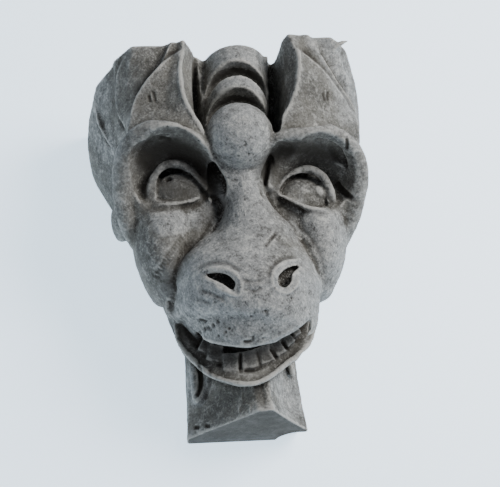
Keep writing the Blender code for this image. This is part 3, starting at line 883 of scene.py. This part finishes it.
# Painted light, partly a pale bluish bloom, on the lit and proud parts.
LIT_AND_BLOOMED = {
    "ball": (0.95, 36, [(238, 130), (242, 145)]),
    "muzzle": (0.85, 48, [(236, 200), (242, 250), (205, 290), (250, 312), (300, 290)]),
    "bridge of the nose": (1, 22, [(243, 168), (242, 200), (238, 232)]),
    "left shoulder of the muzzle": (0.9, 12, [(216, 238), (200, 256), (192, 278)]),
    "left cheek": (1, 15, [(165, 223), (193, 218)]),
    "right cheek": (0.9, 26, [(302, 222), (330, 232), (334, 264)]),
    "right of the neck": (0.8, 16, [(282, 380), (292, 405)]),
    "loop on the neck": (0.8, 5, [(191, 368), (190, 390), (196, 404), (204, 398), (206, 384), (206, 368)]),
    "right ear": (0.7, 18, [(322, 42), (344, 78), (350, 112)]),
    "upper plate": (0.7, 13, [(222, 62), (238, 55), (258, 62)]),
    "lower plate": (0.6, 8, [(220, 88), (238, 80), (262, 88)]),
    "left ear": (0.5, 16, [(101, 90), (98, 125), (110, 150)]),
}
for amount, reach, path in LIT_AND_BLOOMED.values():
    brushed(painted_light_and_bloom, amount, path, reach)
# Painted shade over the foot's face, which is turned down.
shade_and_brown[in_view & (skin[:, 2] < -HEIGHT / 2 + UNIT / 5)] = FOOT_SHADE

# The casting has nicks, gouges and air bubbles as well as the carving. The rims of the nostrils, the
# edge of the lip and two thin lines on the neck are drawn up here too.
NICKS = {
    "left ear, first stroke": (2, 0.5, 0.8, [(148.4, 95), (149.3, 98), (150.2, 102)]),
    "left ear, second stroke": (2, 0.5, 0.8, [(152.9, 91), (154.5, 96), (155.1, 102)]),
    "right ear, first stroke": (2, 0.4, 0.8, [(323, 92), (324, 97), (325, 101)]),
    "right ear, second stroke": (2, 0.4, 0.8, [(328, 91), (327.5, 96), (328.5, 101)]),
    "gouge under the left brow": (3.4, 1.1, 1, [(159, 138), (165, 138.5), (172, 141)]),
    "gouge under the right brow": (2.4, 0.8, 1, [(346.6, 138), (347, 144), (346.4, 150)]),
    "cut on the snout": (2.6, 0.9, 0.45, [(277, 232.5), (271, 239), (265, 246.5)]),
    "nick in the lip": (2.2, 0.7, 1, [(243, 341.5), (247, 342), (252, 341)]),
    "nick beside it": (2, 0.5, 0.8, [(253.2, 335.5), (253, 342)]),
    "scratch on the lip": (1.6, 0.4, 0.8, [(199, 319.5), (207, 322)]),
    "over the left nostril": (4, 0.5, 0.45, [(196, 269), (210, 263), (228, 264), (242, 272)]),
    "over the right nostril": (4, 0.5, 0.45, [(268, 279), (271, 268), (282, 259), (297, 256)]),
    "left wrinkle, upper": (3, 0.5, 0.4, [(201, 290), (213, 294), (226, 301)]),
    "left wrinkle, lower": (3, 0.4, 0.35, [(195, 298), (211, 303)]),
    "middle wrinkle, upper": (3, 0.4, 0.35, [(240, 279), (250, 282), (262, 280)]),
    "middle wrinkle, lower": (3, 0.4, 0.35, [(243, 288), (254, 291), (263, 288)]),
    "under the left eye": (5, 0.7, 0.3, [(150, 210), (165, 208.5), (185, 207), (201, 204)]),
    "under the right eye": (5, 0.7, 0.35, [(276, 196), (292, 205), (308, 211), (325, 213.5)]),
    "outside the right eye": (5.5, 1.4, 0.8, [(336, 182), (341, 189), (353, 200)]),
    "inside the loop": (3.6, 1.6, 1, [(198.7, 364), (200.6, 378), (200, 389), (196, 397)]),
    "beside the loop": (3, 0.5, 0.3, [(209.5, 366), (209.5, 384), (205, 397), (198, 406)]),
    "between the middle teeth": (2, 1.8, 1, [(240.6, 352), (240.2, 362), (240.8, 371)]),
    "right of the middle teeth": (1.6, 0.7, 0.7, [(256.5, 350), (259, 358), (260.6, 366)]),
    "between the right teeth": (2, 1.6, 1, [(270.5, 348), (273.5, 353), (277.4, 359)]),
    "before the last tooth": (2, 1.6, 1, [(282, 341), (285, 345), (288, 350)]),
    "foot, left chip": (3, 0.9, 1, [(194, 427.5), (199, 427.5)]),
    "foot, right chip": (3, 0.9, 1, [(205, 426), (210, 426)]),
}
for width, depth, dark, path in NICKS.values():
    groove(path, width, depth, dark)
RAISED_LINES = {
    "left nostril's rim": (
        4.5, 0.75,
        [
            (201, 271.5), (212, 268.5), (225, 269), (236, 274.5),
            (241.5, 283), (239, 295), (226, 292), (213, 285),
        ],
    ),
    "right nostril's rim": (
        4.5, 0.75,
        [
            (302, 260), (288, 261.5), (277, 267), (272, 277),
            (275, 288), (286, 293), (296, 286), (299, 274),
        ],
    ),
    "curl of the lip": (5, 1.2, [(168, 306), (168.5, 298), (172.5, 301), (175, 310), (179, 319)]),
    "edge of the lip": (
        3, 0.35, [(181, 321), (200, 336.5), (227, 344.5), (238, 346), (256, 344.5), (278, 336), (305, 321)]
    ),
    "seam on the neck": (2, 0.35, [(242, 391), (241.6, 396), (242.1, 402)]),
    "arch on the neck": (2, 0.35, [(239, 413), (239, 406), (245, 404.5), (250, 406), (250, 412)]),
}
for width, height, path in RAISED_LINES.values():
    ridge(path, width, height)
LIP_GASHES = [(199.5, 333, 3), (204, 329.5, 2), (208, 328, 2.6), (213, 325.5, 1.8), (217.5, 322, 2.2)]
for x, y, width in LIP_GASHES:
    groove([(x - 1, y - 2), (x + 1.4, y + 1.6)], width, 0.6, dark=0.6)

rng = np.random.default_rng(11)


def scored(path, count, length, slant):
    """A row of short tool strokes across a line, each a little off true."""
    for x, y in np.array(flow(path, count))[:, :2]:
        turn = math.radians(slant + rng.normal(0, 9))
        reach = length / 2 * rng.uniform(0.7, 1.2)
        dx, dy = reach * math.cos(turn), reach * math.sin(turn)
        groove([(x - dx, y - dy), (x + dx, y + dy)], 1.8, 0.45, 0.55)


OUTER_STROKES = [(182, 238), (173, 250), (165, 262), (157, 277)]
INNER_STROKES = [(186, 243), (178, 254), (170, 265)]
scored(OUTER_STROKES, 15, 7, 40)
scored(INNER_STROKES, 11, 6, 40)

bubbles = kdtree.KDTree(len(skin))
for i, point in enumerate(skin):
    bubbles.insert(point, i)
bubbles.balance()


def pitted(centre, spread, count, smallest=0.25, largest=0.55):
    """Air bubbles against the mould, scattered round a place in the photograph."""
    made = 0
    for _ in range(count * 4):
        if made == count:
            break
        target = np.array(centre) + rng.normal(0, 1, 2) * spread
        choice = np.flatnonzero(in_view & (np.abs(spot - target) < 0.8).all(1))
        if not len(choice):
            continue
        made += 1
        radius = rng.uniform(smallest, largest) / 1000
        for _, i, distance in bubbles.find_range(skin[choice[0]], radius + CELL / 2):
            shape = max(0, 1 - (distance / (radius + CELL / 2)) ** 2)
            relief[i] -= 0.9 * radius * shape
            # Painted shade darkens the bubble.
            shade_and_brown[i] = max(shade_and_brown[i], 0.75 * shape)


BUBBLE_CLUSTERS = {
    "ball": ((240, 152), (15, 7), 9),
    "lip": ((255, 325), (35, 9), 8),
    "right of the muzzle": ((285, 305), (22, 12), 4),
    "left of the muzzle": ((205, 312), (16, 12), 4),
    "left cheek": ((160, 240), (14, 18), 3),
    "right cheek": ((335, 235), (10, 18), 2),
    "right ear": ((320, 95), (14, 20), 4),
    "left ear": ((155, 90), (16, 20), 3),
}
for centre, spread, count in BUBBLE_CLUSTERS.values():
    pitted(centre, spread, count)
LONE_BUBBLES = [
    (198.4, 141.8), (165.8, 58.5), (264.9, 310.9), (292.8, 297.5),
    (310.7, 313.7), (218, 335.5), (225.3, 332), (291, 228.8),
]
for bubble in LONE_BUBBLES:
    pitted(bubble, (0.1, 0.1), 1, 0.5, 0.65)

# Every surface is a little uneven from the modelling, more so where it was not smoothed: long
# swells first, then the drag of the tool.
unevenness = [
    noise.noise(Vector(point) * 95) * 0.35
    + noise.noise(Vector(point) * 260) * 0.2
    + noise.noise(Vector(point) * 560) * 0.16
    for point in skin
]
sawn = (skin[:, 1] > -UNIT / 2) | (np.abs(skin[:, 2]) > HEIGHT / 2 - UNIT / 2)
relief += np.where(sawn, 0, unevenness) / 1000
skin += facing * relief[:, None]
mesh.vertices.foreach_set("co", skin.ravel())
mesh.update()

# Brown paint settles in the hollows, where painted shade is laid as well, and is rubbed off the edges,
# so the skin is compared with a softer copy of itself: near at hand for edges, further off for
# hollows. The wall face is darkened evenly.
EDGE_WIDTH = 0.0016
HOLLOW_WIDTH = 0.0055
WALL_DARKENING = 0.3

beside = neighbours(mesh)
facing = numbers(mesh.vertices, "normal")
near_by = softened(skin, EDGE_WIDTH, beside)
far_off = softened(near_by, HOLLOW_WIDTH, beside)
edge_height = ((skin - near_by) * facing).sum(1) * 1000
hollow_depth = ((far_off - skin) * facing).sum(1) * 1000
wall_face = skin[:, 1] > -UNIT / 3
edge_height[wall_face] = hollow_depth[wall_face] = painted_light_and_bloom[wall_face] = 0
shade_and_brown[wall_face] = WALL_DARKENING

# The stone is then thinned to what its detail needs, and its sawn faces are trued. What was found
# on the full skin is carried over to the thinned one.
TRIANGLES = 186000
CREASE_ANGLE = math.radians(48)

tree = kdtree.KDTree(len(skin))
for i, point in enumerate(skin):
    tree.insert(point, i)
tree.balance()
thin = corbel.modifiers.new("thin", "DECIMATE")
thin.ratio = min(1, TRIANGLES / sum(len(face.vertices) - 2 for face in corbel.data.polygons))
settle(corbel)
bm = bmesh.new()
bm.from_mesh(corbel.data)
for vert in bm.verts:
    if vert.co.y > -UNIT / 5:
        vert.co.y = 0
    if abs(vert.co.z) > HEIGHT / 2 - UNIT / 5:
        vert.co.z = math.copysign(HEIGHT / 2, vert.co.z)
bmesh.ops.remove_doubles(bm, verts=bm.verts, dist=UNIT / 50)
bmesh.ops.triangulate(bm, faces=bm.faces)
bm.to_mesh(corbel.data)
bm.free()
corbel.data.shade_smooth()
corbel.data.set_sharp_from_angle(angle=CREASE_ANGLE)
nearest = [tree.find(vert.co)[1] for vert in corbel.data.vertices]
for name, values in (("edge", edge_height), ("hollow", hollow_depth), ("shade_and_brown", shade_and_brown), ("painted_light_and_bloom", painted_light_and_bloom)):
    layer = corbel.data.attributes.new(name, "FLOAT", "POINT")
    layer.data.foreach_set("value", values[nearest].astype(np.float32))
corbel.name = corbel.data.name = "stone_corbel"


# The finish is cast stone: a grey cement face, brown in the hollows and under painted shade, pale where
# it was rubbed, pale and bluish under painted light and bloom, with sand and air holes in it. It has no
# gloss.
class Amount:
    """A number that varies over the stone, written as a sum."""

    def __init__(self, finish, socket):
        self.finish = finish
        self.socket = socket

    def worked(self, operation, *values):
        return self.finish.add("ShaderNodeMath", {"operation": operation}, dict(enumerate(values)))

    def __add__(self, other):
        return self.worked("ADD", self, other)

    def __sub__(self, other):
        return self.worked("SUBTRACT", self, other)

    def __rsub__(self, other):
        return self.worked("SUBTRACT", other, self)

    def __mul__(self, other):
        return self.worked("MULTIPLY", self, other)

    __radd__ = __add__
    __rmul__ = __mul__

    def between(self, low, high):
        """Nothing at low, all at high, eased at both."""
        ease = {"interpolation_type": "SMOOTHSTEP"}
        limits = {"From Min": low, "From Max": high}
        return self.finish.add("ShaderNodeMapRange", ease, {"Value": self, **limits})


class Finish:
    """A material, its nodes made as they are asked for."""

    def __init__(self, name):
        self.material = bpy.data.materials.new(name)
        self.material.use_nodes = True
        self.tree = self.material.node_tree
        self.shader = self.tree.nodes["Principled BSDF"]
        self.place = self.add("ShaderNodeTexCoord", {}, {}, "Object")

    def add(self, kind, settings, sockets, output=0):
        node = self.tree.nodes.new(kind)
        for name, value in settings.items():
            setattr(node, name, value)
        for name, value in sockets.items():
            if isinstance(value, Amount):
                self.tree.links.new(value.socket, node.inputs[name])
            else:
                node.inputs[name].default_value = value
        return Amount(self, node.outputs[output])

    def mark(self, name):
        return self.add("ShaderNodeAttribute", {"attribute_name": name}, {}, "Fac")

    def cloud(self, size, detail=2.0, rough=0.5, warp=0.0):
        """Soft noise from 0 to 1 with features of a size in metres."""
        shape = {"Scale": 1 / size, "Detail": detail, "Roughness": rough, "Distortion": warp}
        return self.add("ShaderNodeTexNoise", {}, {"Vector": self.place, **shape}, "Fac")

    def mixed(self, share, under, over):
        """Two colours, the second laid over the first by a share."""
        return self.add("ShaderNodeMix", {"data_type": "RGBA"}, {0: share, 6: under, 7: over}, 2)

    def feed(self, name, value):
        self.tree.links.new(value.socket, self.shader.inputs[name])


# Of these colours the pale bluish one is laid as bloom and as painted light, and the dark brown as painted
# shade and as dark grain.
CEMENT_DARK = (0.085, 0.080, 0.070, 1)
CEMENT_LIGHT = (0.194, 0.184, 0.160, 1)
BLUISH_BLOOM_AND_LIGHT = (0.284, 0.285, 0.276, 1)
RUBBED = (0.46, 0.44, 0.395, 1)
SCRATCHED = (0.60, 0.58, 0.53, 1)
SHADE_AND_SETTLED_BROWN = (0.030, 0.025, 0.019, 1)

stone = Finish("cast_stone")
broad = stone.cloud(0.022, 3, 0.55, 0.4)
patch = stone.cloud(0.006, 3, 0.6, 0.6)
sand = stone.cloud(0.0011, 2, 0.6)
dust = stone.cloud(0.00045, 1, 0.5)
mottle = stone.cloud(0.0045, 8, 0.78, 0.2)
edge = stone.mark("edge")
hollow = stone.mark("hollow")
# The first of these two marks is painted shade, partly brown patina; the second is painted light, partly
# bloom.
shade_and_brown_mask = stone.mark("shade_and_brown")
light_and_bloom_mask = stone.mark("painted_light_and_bloom")

colour = stone.mixed((broad + patch * 0.5 + sand * 0.5).between(0.75, 1.3), CEMENT_DARK, CEMENT_LIGHT)
# Painted light, partly a pale bluish bloom.
bloom_and_painted_light = (light_and_bloom_mask + broad * 0.4 + mottle * 1.8 + sand * 0.35 - hollow * 0.3).between(1.1, 2.35)
colour = stone.mixed(bloom_and_painted_light * 0.9, colour, BLUISH_BLOOM_AND_LIGHT)
worn = (edge * 2 + mottle * 0.9 + sand * 0.4 - shade_and_brown_mask * 0.5).between(0.72, 1.3)
colour = stone.mixed(worn * 0.65, colour, RUBBED)
# Painted shade, partly brown patina, in the hollows.
settled_brown_and_shade = (hollow * 0.55 - edge * 0.8 + broad * 0.3 + mottle * 0.4).between(0.5, 1.5)
colour = stone.mixed(settled_brown_and_shade * 0.85, colour, SHADE_AND_SETTLED_BROWN)
grain = mottle * 0.55 + sand * 0.3 + dust * 0.15
speckled = light_and_bloom_mask * 0.6 + 0.4
colour = stone.mixed(grain.between(0.5, 0.6) * 0.6 * speckled, colour, SCRATCHED)
colour = stone.mixed(grain.between(0.49, 0.39) * 0.75 * speckled, colour, SHADE_AND_SETTLED_BROWN)
# Painted shade, partly brown patina, where its layer was laid on.
colour = stone.mixed((shade_and_brown_mask + sand * 0.3 - edge * 0.3).between(0.1, 1.15) * 0.92, colour, SHADE_AND_SETTLED_BROWN)
stone.feed("Base Color", colour)
stone.feed("Roughness", 0.86 - worn * 0.12 + sand * 0.06)
air_holes = stone.add("ShaderNodeTexVoronoi", {}, {"Vector": stone.place, "Scale": 420.0}, "Distance")
face = mottle * 1.1 + sand * 0.5 + dust * 0.2 + air_holes.between(0.05, 0.22) * 0.4
bump = stone.add("ShaderNodeBump", {}, {"Strength": 0.85, "Distance": 0.0008, "Height": face}, "Normal")
stone.feed("Normal", bump)
stone.shader.inputs["Specular IOR Level"].default_value = 0.3
corbel.data.materials.clear()
corbel.data.materials.append(stone.material)
bpy.context.scene.collection.objects.link(corbel)
bpy.data.collections.remove(workshop)
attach(corbel, "root")
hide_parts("corbel")

# The corbel lies with its back on a plain pale floor, which is seen from its front only so that
# the back can be looked at too.
FLOOR_COLOUR = (0.84, 0.87, 0.90, 1)
FLOOR_GLOW_COLOUR = (0.66, 0.84, 1, 1)
FLOOR_GLOW = 1.8
FLOOR_REACH = 3
FLOOR_GAP = 0.0006

floor_bm = bmesh.new()
bmesh.ops.create_grid(floor_bm, x_segments=1, y_segments=1, size=FLOOR_REACH)
bmesh.ops.rotate(floor_bm, verts=floor_bm.verts, matrix=Matrix.Rotation(math.radians(90), 3, "X"))
bmesh.ops.translate(floor_bm, verts=floor_bm.verts, vec=(0, FLOOR_GAP, 0))
floor_mesh = bpy.data.meshes.new("floor")
floor_bm.to_mesh(floor_mesh)
floor_bm.free()
floor = bpy.data.objects.new("floor", floor_mesh)
bpy.context.scene.collection.objects.link(floor)
paper = Finish("pale_floor")
paper.shader.inputs["Base Color"].default_value = FLOOR_COLOUR
paper.shader.inputs["Roughness"].default_value = 0.9
paper.shader.inputs["Emission Color"].default_value = FLOOR_GLOW_COLOUR
paper.shader.inputs["Emission Strength"].default_value = FLOOR_GLOW
behind = paper.add("ShaderNodeNewGeometry", {}, {}, "Backfacing")
clear = paper.add("ShaderNodeBsdfTransparent", {}, {})
front = Amount(paper, paper.shader.outputs[0])
shown = paper.add("ShaderNodeMixShader", {}, {0: behind, 1: front, 2: clear})
paper.tree.links.new(shown.socket, paper.tree.nodes["Material Output"].inputs["Surface"])
floor_mesh.materials.append(paper.material)

# Soft light comes from the head's end and a little from the right, through a wide lamp. A pale room
# fills the shadows from all round.
LAMP_POWER = 9.3
LAMP_SIZE = 0.45
LAMP_NEARER, LAMP_HIGHER, LAMP_RIGHT = 0.42, 0.46, 0.57
ROOM_COLOUR = (0.8, 0.88, 1, 1)
ROOM_STRENGTH = 0.42

lamp = bpy.data.objects.new("lamp", bpy.data.lights.new("lamp", "AREA"))
lamp.data.size = LAMP_SIZE
lamp.data.energy = LAMP_POWER
lamp.location = AIM + toward_camera * LAMP_NEARER + picture_up * LAMP_HIGHER + picture_right * LAMP_RIGHT
lamp.rotation_mode = "QUATERNION"
lamp.rotation_quaternion = (AIM - lamp.location).to_track_quat("-Z", "Y")
bpy.context.scene.collection.objects.link(lamp)
room = bpy.data.worlds.new("room")
room.use_nodes = True
room.node_tree.nodes["Background"].inputs["Color"].default_value = ROOM_COLOUR
room.node_tree.nodes["Background"].inputs["Strength"].default_value = ROOM_STRENGTH
bpy.context.scene.world = room
